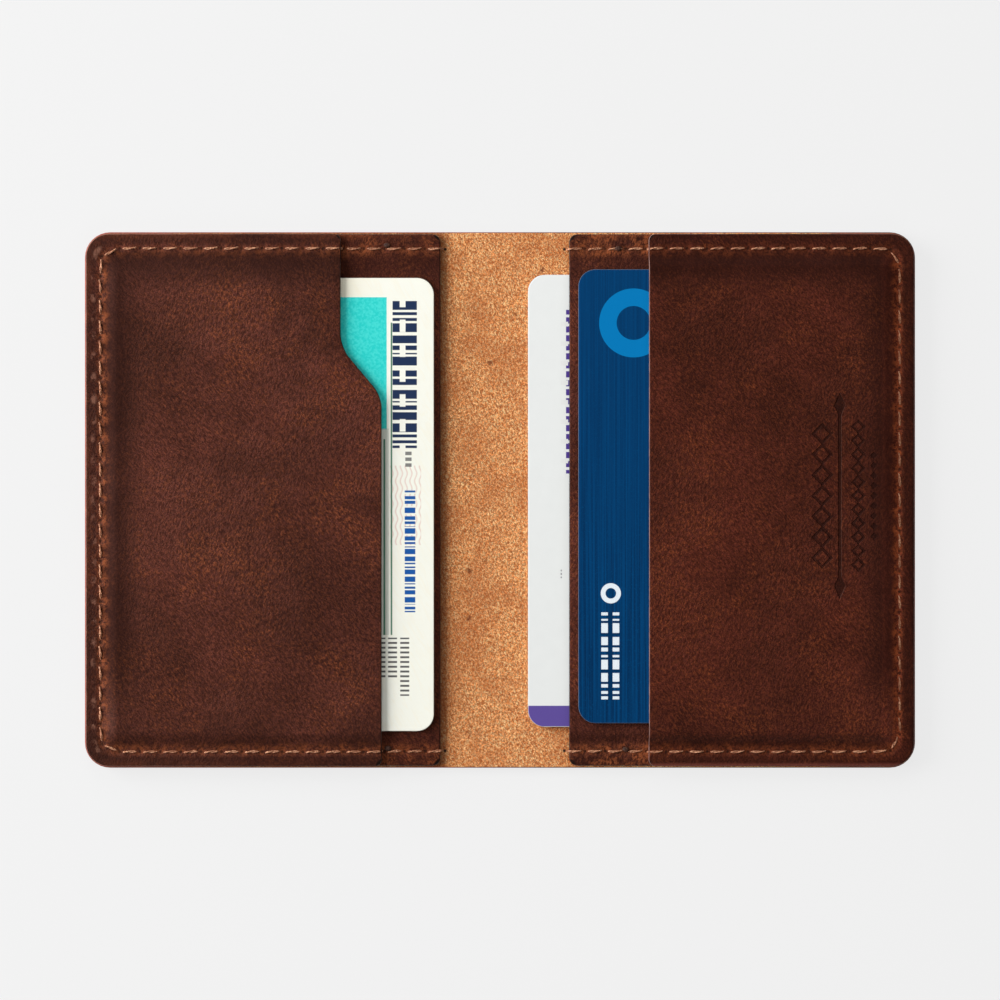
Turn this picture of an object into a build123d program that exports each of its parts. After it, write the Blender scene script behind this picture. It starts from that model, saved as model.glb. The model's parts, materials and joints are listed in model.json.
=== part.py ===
"""Two-fold leather card wallet, lying open, with the three cards it holds. Millimetres.

Frame: origin under the middle of the fold, on the surface that the open wallet lies on.
+Z up, +Y along the fold, +X towards the right half. The wallet shuts round a spine, by two
hinge lines that run along Y on the inner face of the cover, one at each side of the spine.
"""

from build123d import *
import os

# Cards: the standard size that the pockets are cut for
card_length = 85.6
card_width = 53.98
card_thickness = 0.76
card_corner = 3.18

# Leather
cover_leather = 1.3
pocket_leather = 1.0
cover_corner = 4.8
free_corner = 1.5
edge_step = 0.5  # the pocket leather stands back this far from the cover's edge

# Room round the cards
card_play = 0.1  # above and below a card
empty_slot_gap = 0.2  # the left back pocket holds no card
back_end_play = 1.0  # beside each short end of a card in a back pocket
nest_gap = 0.1  # between a raised back pocket and the front pocket drawn over it
home_edge = 18.87  # from the fold to the near edge of a card pushed right in
closing_gap = 0.42  # between the two halves' pockets when the wallet is shut

# Free edges of the pockets, and the cards, measured from the fold
left_back_edge = 11.3
left_front_edge_top = 30.1
left_front_edge_bottom = 22.35
right_back_edge = 13.1
right_front_edge = 28.1
id_card_edge = 12.5
blue_card_edge = 14.8
white_card_past_spine = 1.55
id_card_shift = -0.85
blue_card_shift = 0.7
white_card_shift = -0.15

# Thumb notch in the left front pocket: where its slant would meet the straight edges
notch_top = 28.85
notch_bottom = 19.6
notch_top_radius = 7.0
notch_bottom_radius = 6.0

# Seams
seam_inset = 3.25
wall_to_seam = 1.65
seam_corner = 2.8
stitch_pitch = 3.86
end_stitch_reach = 0.9  # the last hole lies this far past the back pocket's free edge
thread_width = 0.7
thread_thickness = 0.35
leg_radius = 0.3  # the thread is drawn tighter where it runs down a hole
hole_play = 0.1
groove_play = 0.1
thread_recess = 0.05
lock_height = 0.85  # where the needle thread and the bobbin thread meet in a hole

# Layer heights
slot_height = card_thickness + 2 * card_play
right_back_ceiling = cover_leather + slot_height
left_back_ceiling = cover_leather + empty_slot_gap
right_front_ceiling = right_back_ceiling + pocket_leather + slot_height
left_front_ceiling = left_back_ceiling + pocket_leather + slot_height
back_seat = cover_leather
front_seat = cover_leather + pocket_leather
seam_top = front_seat + pocket_leather

# The spine is as wide as both stacks of pockets and the gap between them are high
right_stack = right_front_ceiling + pocket_leather - cover_leather
left_stack = left_front_ceiling + pocket_leather - cover_leather
spine_half = (right_stack + left_stack + closing_gap) / 2

# Plan sizes, measured from the fold and from the middle of the height
front_channel_end = home_edge + card_width
back_channel_end = front_channel_end - nest_gap - pocket_leather
half_width = front_channel_end + pocket_leather + wall_to_seam + seam_inset
back_channel_half = card_length / 2 + back_end_play
front_channel_half = back_channel_half + pocket_leather + nest_gap
half_height = front_channel_half + pocket_leather + wall_to_seam + seam_inset
pocket_outer = half_width - edge_step
pocket_half = half_height - edge_step
pocket_corner = cover_corner - edge_step
seam_x = half_width - seam_inset
seam_half = half_height - seam_inset

# Thread and hole sizes
hole_radius = leg_radius + hole_play
groove_width = thread_width + 2 * groove_play
groove_depth = thread_thickness + thread_recess

LEFT = -1
RIGHT = 1


def seam_line(side, start, end_extra=0.0):
    """The U of one seam, from the top row to the bottom row, round the outer corners."""
    near = start - end_extra
    with BuildLine() as line:
        FilletPolyline(
            (side * near, seam_half),
            (side * seam_x, seam_half),
            (side * seam_x, -seam_half),
            (side * near, -seam_half),
            radius=seam_corner,
        )
    return line.wire()


def stitch_holes(side, back_edge):
    """Centres of the stitch holes, evenly spaced from one end of the seam to the other."""
    line = seam_line(side, back_edge - end_stitch_reach)
    stitches = round(line.length / stitch_pitch)
    spacing = line.length / stitches
    places = [line.position_at(i * spacing, PositionMode.LENGTH) for i in range(stitches + 1)]
    return [(place.X, place.Y) for place in places]


def hole_circles(holes):
    """Outlines of the stitch holes, at the height of the surface that the wallet lies on."""
    with BuildSketch(Plane.XY) as circles:
        with Locations(*holes):
            Circle(hole_radius)
    return circles.sketch


def cover_half(side, back_edge):
    """One half of the cover, with its stitch holes and the groove for the bobbin thread."""
    with BuildPart() as cover:
        with BuildSketch(Plane.XY):
            with BuildLine():
                FilletPolyline(
                    (side * spine_half, half_height),
                    (side * half_width, half_height),
                    (side * half_width, -half_height),
                    (side * spine_half, -half_height),
                    radius=[0, cover_corner, cover_corner, 0],
                    close=True,
                )
            make_face()
        extrude(amount=cover_leather)
        with BuildSketch(Plane.XY):
            trace(
                seam_line(side, back_edge - end_stitch_reach, groove_width / 2),
                line_width=groove_width,
            )
        extrude(amount=groove_depth, mode=Mode.SUBTRACT)
        circles = hole_circles(stitch_holes(side, back_edge))
        extrude(circles, amount=cover_leather, mode=Mode.SUBTRACT)
    return cover


def cover_spine():
    """The stretch of the cover that stands on edge between the halves when the wallet is shut."""
    with BuildPart() as spine:
        with BuildSketch(Plane.XY):
            Rectangle(2 * spine_half, 2 * half_height)
        extrude(amount=cover_leather)
    return spine


def formed_pocket(side, seat, ceiling, channel_half, channel_end, free_edge, holes):
    """One pocket leather, wet formed: a raised panel and a flat flange on three sides.

    free_edge lists (distance from the fold, y, corner radius), from top to bottom.
    The leather is kept as touching solids, so the card's channel stays open.
    """
    rise = ceiling - seat
    outline = [(side * x, y) for x, y, _ in free_edge]
    corners = [radius for _, _, radius in free_edge]
    with BuildPart() as pocket:
        with BuildSketch(Plane.XY.offset(seat)):
            with Locations((side * pocket_outer / 2, 0)):
                Rectangle(pocket_outer, 2 * pocket_half)
        extrude(amount=pocket_leather)
        with BuildSketch(Plane.XY.offset(seat)):
            with Locations((side * (channel_end + pocket_leather) / 2, 0)):
                Rectangle(channel_end + pocket_leather, 2 * (channel_half + pocket_leather))
        extrude(amount=rise + pocket_leather)
        with BuildSketch(Plane.XY.offset(seat)):
            with Locations((side * channel_end / 2, 0)):
                Rectangle(channel_end, 2 * channel_half)
        extrude(amount=rise, mode=Mode.SUBTRACT)
        with BuildSketch(Plane.XY.offset(seat)):
            with BuildLine():
                FilletPolyline(
                    *outline,
                    (side * pocket_outer, -pocket_half),
                    (side * pocket_outer, pocket_half),
                    radius=[*corners, pocket_corner, pocket_corner],
                    close=True,
                )
            make_face()
        extrude(amount=rise + pocket_leather, mode=Mode.INTERSECT)
        extrude(hole_circles(holes), amount=seam_top, mode=Mode.SUBTRACT)
        split(bisect_by=Plane.YZ.offset(side * channel_end), keep=Keep.BOTH)
        split(bisect_by=Plane.XZ.offset(channel_half), keep=Keep.BOTH)
        split(bisect_by=Plane.XZ.offset(-channel_half), keep=Keep.BOTH)
    return pocket


def plain_edge(distance):
    """Free edge that runs straight from the top of the pocket to the bottom."""
    return [(distance, pocket_half, free_corner), (distance, -pocket_half, free_corner)]


def notched_edge(top, bottom):
    """Free edge that steps back towards the fold below the thumb notch."""
    return [
        (top, pocket_half, free_corner),
        (top, notch_top, notch_top_radius),
        (bottom, notch_bottom, notch_bottom_radius),
        (bottom, -pocket_half, free_corner),
    ]


def needle_thread(side, back_edge, front_top, front_bottom):
    """Thread on the pockets: a flat U that steps down over both free edges, and its legs."""
    start = back_edge - end_stitch_reach - thread_width / 2
    turn = seam_x - 2 * seam_corner
    with BuildPart() as thread:
        with BuildSketch(Plane.XY.offset(seam_top)):
            trace(seam_line(side, turn), line_width=thread_width)
        extrude(amount=thread_thickness)
        for row, front_edge in ((seam_half, front_top), (-seam_half, front_bottom)):
            with BuildSketch(Plane.XZ.offset(-row)):
                with BuildLine():
                    lower = [
                        (start, cover_leather),
                        (back_edge, cover_leather),
                        (back_edge, front_seat),
                        (front_edge, front_seat),
                        (front_edge, seam_top),
                        (turn, seam_top),
                    ]
                    upper = [
                        (turn, seam_top + thread_thickness),
                        (front_edge - thread_thickness, seam_top + thread_thickness),
                        (front_edge - thread_thickness, front_seat + thread_thickness),
                        (back_edge - thread_thickness, front_seat + thread_thickness),
                        (back_edge - thread_thickness, cover_leather + thread_thickness),
                        (start, cover_leather + thread_thickness),
                    ]
                    Polyline(*[(side * x, z) for x, z in lower + upper], close=True)
                make_face()
            extrude(amount=thread_width / 2, both=True)
        for x, y in stitch_holes(side, back_edge):
            front_edge = front_top if y > 0 else front_bottom
            height = cover_leather
            if abs(x) > back_edge:
                height = front_seat
            if abs(x) > front_edge:
                height = seam_top
            with BuildSketch(Plane.XY.offset(lock_height)):
                with Locations((x, y)):
                    Circle(leg_radius)
            extrude(amount=height - lock_height)
    return thread


def bobbin_thread(side, back_edge):
    """Thread on the outside of the cover: a flat U sunk in its groove, and its legs."""
    start = back_edge - end_stitch_reach
    with BuildPart() as thread:
        with BuildSketch(Plane.XY.offset(thread_recess)):
            trace(seam_line(side, start, thread_width / 2), line_width=thread_width)
        extrude(amount=thread_thickness)
        with BuildSketch(Plane.XY.offset(groove_depth)):
            with Locations(*stitch_holes(side, back_edge)):
                Circle(leg_radius)
        extrude(amount=lock_height - groove_depth)
    return thread


def card(side, near_edge, shift, ceiling):
    """One card, under the pocket panel whose underside is at ceiling."""
    with BuildPart() as plate:
        with BuildSketch(Plane.XY.offset(ceiling - card_play - card_thickness)):
            with Locations((side * (near_edge + card_width / 2), shift)):
                RectangleRounded(card_width, card_length, card_corner)
        extrude(amount=card_thickness)
    return plate


left_holes = stitch_holes(LEFT, left_back_edge)
right_holes = stitch_holes(RIGHT, right_back_edge)
left_notched = notched_edge(left_front_edge_top, left_front_edge_bottom)

pieces = {
    "cover_left": cover_half(LEFT, left_back_edge),
    "cover_right": cover_half(RIGHT, right_back_edge),
    "cover_spine": cover_spine(),
    "left_back_pocket": formed_pocket(
        LEFT, back_seat, left_back_ceiling, back_channel_half, back_channel_end,
        plain_edge(left_back_edge), left_holes,
    ),
    "left_front_pocket": formed_pocket(
        LEFT, front_seat, left_front_ceiling, front_channel_half, front_channel_end,
        left_notched, left_holes,
    ),
    "right_back_pocket": formed_pocket(
        RIGHT, back_seat, right_back_ceiling, back_channel_half, back_channel_end,
        plain_edge(right_back_edge), right_holes,
    ),
    "right_front_pocket": formed_pocket(
        RIGHT, front_seat, right_front_ceiling, front_channel_half, front_channel_end,
        plain_edge(right_front_edge), right_holes,
    ),
    "left_needle_thread": needle_thread(
        LEFT, left_back_edge, left_front_edge_top, left_front_edge_bottom
    ),
    "right_needle_thread": needle_thread(
        RIGHT, right_back_edge, right_front_edge, right_front_edge
    ),
    "left_bobbin_thread": bobbin_thread(LEFT, left_back_edge),
    "right_bobbin_thread": bobbin_thread(RIGHT, right_back_edge),
    "id_card": card(LEFT, id_card_edge, id_card_shift, left_front_ceiling),
    "blue_card": card(RIGHT, blue_card_edge, blue_card_shift, right_front_ceiling),
    "white_card": card(
        RIGHT, spine_half + white_card_past_spine, white_card_shift, right_back_ceiling
    ),
}

os.makedirs("parts", exist_ok=True)
for node, piece in pieces.items():
    piece.part.label = node
    export_step(piece.part, f"parts/{node}.step")

print(f"open {2 * half_width:.2f} x {2 * half_height:.2f}")
print(f"hinge lines at x = {spine_half:.4f} and {-spine_half:.4f}, z = {cover_leather}")
print(f"front channel ends at {front_channel_end:.2f}, back channel at {back_channel_end:.2f}")
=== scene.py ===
# %% [markdown]
# # A two-fold leather card wallet, lying open
#
# The wallet is one thick leather cover with four pocket leathers sewn onto it, two on each
# half, and three plastic cards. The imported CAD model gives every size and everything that
# moves. This script dresses it: soft formed leather, twisted stitches, printed cards.

# %% Load the frame
import json
import math
import random

import bmesh
import bpy
import numpy as np
from mathutils import Matrix, Vector, noise

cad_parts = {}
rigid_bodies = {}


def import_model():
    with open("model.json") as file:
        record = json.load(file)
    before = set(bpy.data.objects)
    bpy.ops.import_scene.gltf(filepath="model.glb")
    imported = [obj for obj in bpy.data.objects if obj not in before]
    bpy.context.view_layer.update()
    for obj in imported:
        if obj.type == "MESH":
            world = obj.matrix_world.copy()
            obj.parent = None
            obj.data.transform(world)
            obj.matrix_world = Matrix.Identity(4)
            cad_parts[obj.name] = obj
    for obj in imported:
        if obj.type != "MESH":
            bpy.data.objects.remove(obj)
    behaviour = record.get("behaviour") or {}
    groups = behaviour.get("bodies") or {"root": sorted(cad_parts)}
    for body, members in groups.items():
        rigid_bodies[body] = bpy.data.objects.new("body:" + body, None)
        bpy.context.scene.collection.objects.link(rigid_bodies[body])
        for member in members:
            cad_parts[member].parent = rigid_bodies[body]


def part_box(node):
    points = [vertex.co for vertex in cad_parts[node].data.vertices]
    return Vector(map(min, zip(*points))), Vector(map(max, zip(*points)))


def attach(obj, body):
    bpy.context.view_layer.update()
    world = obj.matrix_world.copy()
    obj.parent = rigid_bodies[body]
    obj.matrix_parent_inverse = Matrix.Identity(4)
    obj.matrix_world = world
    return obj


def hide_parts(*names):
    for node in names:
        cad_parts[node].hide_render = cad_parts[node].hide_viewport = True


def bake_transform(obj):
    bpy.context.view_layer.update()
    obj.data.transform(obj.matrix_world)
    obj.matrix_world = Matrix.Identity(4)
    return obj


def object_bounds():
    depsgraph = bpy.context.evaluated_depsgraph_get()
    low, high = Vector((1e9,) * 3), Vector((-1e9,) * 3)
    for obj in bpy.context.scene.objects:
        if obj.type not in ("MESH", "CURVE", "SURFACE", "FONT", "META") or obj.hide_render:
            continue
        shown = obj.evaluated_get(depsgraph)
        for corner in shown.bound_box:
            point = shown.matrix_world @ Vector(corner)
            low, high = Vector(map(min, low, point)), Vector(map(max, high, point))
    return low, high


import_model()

cad_low, cad_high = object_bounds()
print("open size, mm:", [round(1000 * side, 2) for side in cad_high - cad_low])

# %% [markdown]
# ## Sizes
#
# Every outline, seam and card takes its place from the box of a CAD node. What no box gives, such as how far
# the leather slopes beside a card, where it is worn, or where a thread end was melted, is given as a number.
# A distance across the wallet is counted from the fold outwards, so that both halves share the same words,
# and `LEFT` or `RIGHT` gives it its sign.

# %% Sizes read from the frame
MM = 0.001
LEFT, RIGHT = -1, 1
BODIES = {LEFT: "left_half", RIGHT: "right_half"}

cover_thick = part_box("cover_right")[1].z
half_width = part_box("cover_right")[1].x
half_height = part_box("cover_right")[1].y
spine_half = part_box("cover_spine")[1].x
back_seat = cover_thick
front_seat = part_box("right_front_pocket")[0].z
leather = front_seat - back_seat
left_back_edge = -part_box("left_back_pocket")[1].x
left_front_edge_low = -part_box("left_front_pocket")[1].x
right_back_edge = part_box("right_back_pocket")[0].x
right_front_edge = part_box("right_front_pocket")[0].x
outer_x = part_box("right_back_pocket")[1].x
pocket_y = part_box("right_back_pocket")[1].y
print("pockets stand back, mm:", round(1000 * (half_width - outer_x), 2))
thread_half = 0.35 * MM
seam_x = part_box("right_needle_thread")[1].x - thread_half
seam_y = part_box("right_needle_thread")[1].y - thread_half
print("leather, mm:", round(1000 * cover_thick, 2), round(1000 * leather, 2))
print("seam, mm:", round(1000 * seam_x, 2), round(1000 * seam_y, 2))

# %% [markdown]
# ## Working by operator
#
# So each piece starts with nothing selected, and inside edit mode the vertices, edges and
# faces are picked in code, by where they are or which way they face.

# %% Selecting and editing
def fresh():
    """Deselect everything, in object mode, so that the next operator meets only its own piece."""
    if bpy.context.object and bpy.context.object.mode != "OBJECT":
        bpy.ops.object.mode_set(mode="OBJECT")
    bpy.ops.object.select_all(action="DESELECT")


def pick(obj):
    """Make obj the only selected object, and the active one."""
    fresh()
    obj.select_set(True)
    bpy.context.view_layer.objects.active = obj


def edit(obj, mode="VERT"):
    """Enter edit mode on obj with nothing selected, and return its bmesh."""
    pick(obj)
    bpy.ops.object.mode_set(mode="EDIT")
    bpy.ops.mesh.select_mode(type=mode)
    bpy.ops.mesh.select_all(action="DESELECT")
    return bmesh.from_edit_mesh(obj.data)


def choose(obj, elements, test):
    """Select the elements that pass the test, in edit mode."""
    for element in elements:
        if test(element):
            element.select_set(True)
    bmesh.update_edit_mesh(obj.data)


def apply_place(obj):
    """Put the object's place into its mesh, so that the object sits at the origin."""
    pick(obj)
    bpy.ops.object.transform_apply(location=True, rotation=True, scale=True)


def smooth(obj, angle=40):
    """Outward normals, and smooth shading except over edges sharper than angle."""
    edit(obj)
    bpy.ops.mesh.select_all(action="SELECT")
    bpy.ops.mesh.normals_make_consistent(inside=False)
    fresh()
    pick(obj)
    bpy.ops.object.shade_smooth_by_angle(angle=math.radians(angle))


print("selecting and editing ready")


# %% The points of a mesh
def points_of(obj):
    """The vertices of a mesh as an array, one row each."""
    flat = np.empty(len(obj.data.vertices) * 3, np.float32)
    obj.data.vertices.foreach_get("co", flat)
    return flat.reshape(-1, 3).astype(float)


def set_points(obj, points):
    """Write an array from points_of back to the mesh."""
    obj.data.vertices.foreach_set("co", points.astype(np.float32).ravel())
    obj.data.update()


def keep_values(obj, name, values):
    """Store one number or one vector for each vertex, for a material to read."""
    values = np.asarray(values, np.float32)
    kind = "FLOAT_VECTOR" if values.ndim == 2 else "FLOAT"
    layer = obj.data.attributes.new(name, kind, "POINT")
    layer.data.foreach_set("vector" if values.ndim == 2 else "value", values.ravel())


def ease(value):
    """0 below 0, 1 above 1, and a soft S between them."""
    value = np.clip(value, 0, 1)
    return value * value * (3 - 2 * value)


print("mesh points ready")

# %% [markdown]
# ## The seam's line
#
# Each half has one seam in the shape of a U: along the top, round a small corner, down the
# outer edge, round a corner and back along the bottom. The holes are evenly spaced along
# it. Stitches, holes and the pressed groove all need the same two numbers for a point:
# how far along the seam it is, counted in stitches, and how far off the seam's line. The
# seam could be a curve that is sampled, but a formula answers for any point at once.

# %% The seam as a path
SEAM_CORNER = 2.8 * MM
STITCH_PITCH = 3.86 * MM
END_REACH = 0.9 * MM


class Seam:
    """The U of one seam, from its end on the top row to its end on the bottom row."""

    def __init__(self, side, back_edge):
        self.side = side
        self.start = back_edge - END_REACH
        self.turn_x = seam_x - SEAM_CORNER
        self.turn_y = seam_y - SEAM_CORNER
        self.row = self.turn_x - self.start
        self.arc = SEAM_CORNER * math.pi / 2
        self.down = 2 * self.turn_y
        self.length = 2 * self.row + 2 * self.arc + self.down
        self.stitches = round(self.length / STITCH_PITCH)
        self.pitch = self.length / self.stitches

    def at(self, distance):
        """The point (x, y) that lies this far along the seam."""
        if distance <= self.row:
            return self.side * (self.start + distance), seam_y
        distance -= self.row
        if distance <= self.arc:
            angle = distance / SEAM_CORNER
            x = self.turn_x + SEAM_CORNER * math.sin(angle)
            return self.side * x, self.turn_y + SEAM_CORNER * math.cos(angle)
        distance -= self.arc
        if distance <= self.down:
            return self.side * seam_x, self.turn_y - distance
        distance -= self.down
        if distance <= self.arc:
            angle = distance / SEAM_CORNER
            x = self.turn_x + SEAM_CORNER * math.cos(angle)
            return self.side * x, -self.turn_y - SEAM_CORNER * math.sin(angle)
        return self.side * (self.turn_x - distance + self.arc), -seam_y

    def holes(self):
        """The centres of all stitch holes, in order."""
        return [self.at(i * self.pitch) for i in range(self.stitches + 1)]

    def measure(self, points):
        """For each point: stitches along the seam, and millimetres off its line."""
        x, y = self.side * points[:, 0], points[:, 1]
        in_x, in_y = x - self.turn_x, np.abs(y) - self.turn_y
        corner = (in_x > 0) & (in_y > 0)
        off_corner = np.hypot(in_x, in_y) - SEAM_CORNER
        turn = np.arctan2(in_x, np.where(corner, in_y, 1)) * SEAM_CORNER
        near_row = np.abs(seam_y - np.abs(y)) < np.abs(seam_x - x)
        off_row = np.where(near_row, np.abs(y) - seam_y, x - seam_x)
        along_top = np.where(near_row, x - self.start, self.row + self.arc + self.turn_y - y)
        along_low = np.where(near_row, self.length - (x - self.start), along_top)
        along = np.where(y > 0, along_top, along_low)
        bend = np.where(y > 0, self.row + turn, self.length - self.row - turn)
        along = np.where(corner, bend, along)
        off = np.where(corner, off_corner, off_row)
        return along / self.pitch, off / MM


seams = {LEFT: Seam(LEFT, left_back_edge), RIGHT: Seam(RIGHT, right_back_edge)}
for side, seam in seams.items():
    print("seam", side, "length mm", round(1000 * seam.length, 1), "stitches", seam.stitches)

# %% [markdown]
# ## Building materials from nodes
#
# Short helpers keep the node trees readable: `put` adds a node and wires or sets its
# inputs, and `calc`, `times`, `blend_colour` and `span` are the ones that are used most.
# The nodes could be laid out by hand, but in code one finish can serve several pieces.

# %% Nodes
def feed(tree, made, inputs):
    """Fill a node's inputs: the sockets of other nodes are wired, and values are set."""
    for key, value in (inputs or {}).items():
        if isinstance(value, bpy.types.NodeSocket):
            tree.links.new(value, made.inputs[key])
        else:
            made.inputs[key].default_value = value
    return made


def put(tree, kind, inputs=None, **settings):
    """Add a node. Inputs are values or the sockets of other nodes."""
    made = tree.nodes.new(kind)
    for key, value in settings.items():
        setattr(made, key, value)
    return feed(tree, made, inputs)


def calc(tree, operation, first, second=0.0, clamp=False):
    """A Math node's result."""
    wired = {0: first, 1: second}
    return put(tree, "ShaderNodeMath", wired, operation=operation, use_clamp=clamp).outputs[0]


def times(tree, first, second):
    """One value times another: one mask seen through another."""
    return calc(tree, "MULTIPLY", first, second)


def how_far(tree, along, across):
    """How far a point is from zero, from its two distances."""
    squares = calc(tree, "ADD", times(tree, along, along), times(tree, across, across))
    return calc(tree, "POWER", squares, 0.5)


def axes(tree, place):
    """The X, Y and Z of a place."""
    return put(tree, "ShaderNodeSeparateXYZ", {0: place}).outputs


def blend_colour(tree, factor, first, second, mode="MIX"):
    """The colour between two colours."""
    wired = {0: factor, 6: first, 7: second}
    mixed = put(tree, "ShaderNodeMix", wired, data_type="RGBA", blend_type=mode)
    return mixed.outputs[2]


def span(tree, value, low, high, out_low=0.0, out_high=1.0):
    """Rescale a value from low..high, with a soft start and end."""
    wired = {0: value, 1: low, 2: high, 3: out_low, 4: out_high}
    mapped = put(tree, "ShaderNodeMapRange", wired, interpolation_type="SMOOTHSTEP")
    return mapped.outputs[0]


def cloud(tree, place, scale, detail=3.0, rough=0.5, twist=0.0):
    """A Noise texture's value, with scale in features per metre."""
    wired = {"Vector": place, "Scale": scale, "Detail": detail, "Roughness": rough}
    return put(tree, "ShaderNodeTexNoise", {**wired, "Distortion": twist}).outputs[0]


def stretch(tree, place, scale, turn=0.0):
    """A place turned about Z and then stretched, for grain that runs one way."""
    gaps = tuple(1 / part for part in scale)
    wired = {0: place, "Rotation": (0, 0, math.radians(turn)), "Scale": gaps}
    return put(tree, "ShaderNodeMapping", wired, vector_type="TEXTURE").outputs[0]


print("nodes ready")


# %% Colours
def linear(value):
    """One part of a screen colour, 0 to 255, as light from 0 to 1."""
    value /= 255
    return value / 12.92 if value <= 0.04045 else ((value + 0.055) / 1.055) ** 2.4


def rgb(red, green, blue):
    """A colour given as on a screen, as Blender's linear colour."""
    return (linear(red), linear(green), linear(blue), 1.0)


def toned(colour, share):
    """A colour made darker or lighter, no part of it past full."""
    return tuple(min(1.0, share * part) for part in colour[:3]) + (1.0,)


print("colours ready")


# %% Groups and materials
def new_group(name, inputs, outputs):
    """An empty node group with named sockets. Returns the tree, its inputs and its end."""
    tree = bpy.data.node_groups.new(name, "ShaderNodeTree")
    kinds = {"c": "NodeSocketColor", "v": "NodeSocketVector", "f": "NodeSocketFloat"}
    for label, kind in inputs:
        tree.interface.new_socket(name=label, in_out="INPUT", socket_type=kinds[kind])
    for label, kind in outputs:
        tree.interface.new_socket(name=label, in_out="OUTPUT", socket_type=kinds[kind])
    start = tree.nodes.new("NodeGroupInput")
    end = tree.nodes.new("NodeGroupOutput")
    return tree, start.outputs, end


def finish_group(tree, end, results):
    """Wire a group's results to its named outputs."""
    for label, socket in results.items():
        tree.links.new(socket, end.inputs[label])
    return tree


def place_group(tree, group, inputs):
    """Place a group in a tree with its inputs wired, and return its outputs."""
    made = tree.nodes.new("ShaderNodeGroup")
    made.node_tree = group
    return feed(tree, made, inputs).outputs


def new_material(name):
    """A material with a Principled shader. Returns the material, its tree and the shader."""
    material = bpy.data.materials.new(name)
    material.use_nodes = True
    tree = material.node_tree
    return material, tree, tree.nodes["Principled BSDF"]


def wire(tree, shader, colour=None, rough=None, height=None, depth=0.1 * MM):
    """Wire a surface's colour, roughness and relief into its shader."""
    if colour is not None:
        tree.links.new(colour, shader.inputs["Base Color"])
    if rough is not None:
        tree.links.new(rough, shader.inputs["Roughness"])
    if height is not None:
        bump = put(tree, "ShaderNodeBump", {"Height": height, "Distance": depth})
        tree.links.new(bump.outputs[0], shader.inputs["Normal"])


def stored(tree, name, output="Vector"):
    """A value that was stored on the mesh with keep_values."""
    return put(tree, "ShaderNodeAttribute", None, attribute_name=name).outputs[output]


print("groups and materials ready")

# %% [markdown]
# ## Camera, floor and light
#
# The wallet is seen from straight above. A long lens keeps the perspective small. The floor
# is a wide rounded plate that ends far outside the view. One large soft light stands to the
# left and a little beyond the top, so raised leather is lit on its left side and throws a
# short soft shade to the right, and three weaker ones fill the rest. Nothing bright hangs
# above the wallet, so waxed leather keeps its depth. The floor glows a little, as a light
# table does, which keeps it even. From below it is clear, and one more light waits there, so
# that the underside can be looked at too.

# %% Camera
VIEW_WIDTH = 188.8 * MM
LENS = 100
SENSOR = 36
fresh()
surface = cad_high.z - 1.6 * MM
distance = VIEW_WIDTH * LENS / SENSOR
bpy.ops.object.camera_add(location=(0, 0, surface + distance), rotation=(0, 0, 0))
camera = bpy.context.object
camera.name = "camera"
camera.data.lens = LENS
camera.data.sensor_width = SENSOR
camera.data.clip_start = 0.01
camera.data.clip_end = 20
bpy.context.scene.camera = camera
bpy.context.scene.view_settings.view_transform = "Standard"
print("camera height, mm:", round(1000 * distance, 1))

# %% Floor
fresh()
bpy.ops.mesh.primitive_circle_add(
    vertices=64, radius=6.0, fill_type="NGON", location=(0, 0, -0.03 * MM))
floor = bpy.context.object
floor.name = "floor"
edit(floor, "FACE")
bpy.ops.mesh.select_all(action="SELECT")
bpy.ops.mesh.inset(thickness=3.0)
fresh()
floor_material, tree, shader = new_material("floor")
shader.inputs["Roughness"].default_value = 0.9
shader.inputs["Specular IOR Level"].default_value = 0.1
shader.inputs["Emission Color"].default_value = (1, 1, 1, 1)
shader.inputs["Emission Strength"].default_value = 0.774
place = put(tree, "ShaderNodeTexCoord").outputs["Object"]
tint = cloud(tree, place, 3.0)
wire(tree, shader, blend_colour(tree, tint, (0.098, 0.098, 0.098, 1), (0.102, 0.102, 0.102, 1)))
below = put(tree, "ShaderNodeNewGeometry").outputs["Backfacing"]
clear = put(tree, "ShaderNodeBsdfTransparent").outputs[0]
one_way = put(tree, "ShaderNodeMixShader", {0: below, 1: shader.outputs[0], 2: clear}).outputs[0]
tree.links.new(one_way, tree.nodes["Material Output"].inputs["Surface"])
floor.data.materials.append(floor_material)
print("floor ready")

# %% Lights
def soft_light(name, place, aim, size, power):
    """A square area light that faces a point."""
    fresh()
    turn = (Vector(aim) - Vector(place)).to_track_quat("-Z", "Y").to_euler()
    bpy.ops.object.light_add(type="AREA", location=place, rotation=turn)
    lamp = bpy.context.object
    lamp.name = name
    lamp.data.size = size
    lamp.data.energy = power


soft_light("key light", (-0.87, 0.24, 0.37), (0, 0, 0), 0.8, 20.2)
soft_light("top light", (-0.1, 0.95, 0.75), (0, 0, 0), 0.6, 4.4)
soft_light("low light", (0.2, -0.9, 0.8), (0, 0, 0), 0.6, 2.3)
soft_light("right light", (0.9, 0.1, 0.8), (0, 0, 0), 0.6, 1.3)
soft_light("under light", (-0.5, -0.4, -0.8), (0, 0, 0), 0.6, 11.0)
world = bpy.data.worlds.new("surround")
world.use_nodes = True
sky = world.node_tree
seen = put(sky, "ShaderNodeLightPath").outputs["Is Camera Ray"]
backdrop = blend_colour(sky, seen, (0.05, 0.05, 0.05, 1), (0.82, 0.82, 0.82, 1))
sky.links.new(backdrop, sky.nodes["Background"].inputs["Color"])
bpy.context.scene.world = world
print("lights ready")

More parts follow.
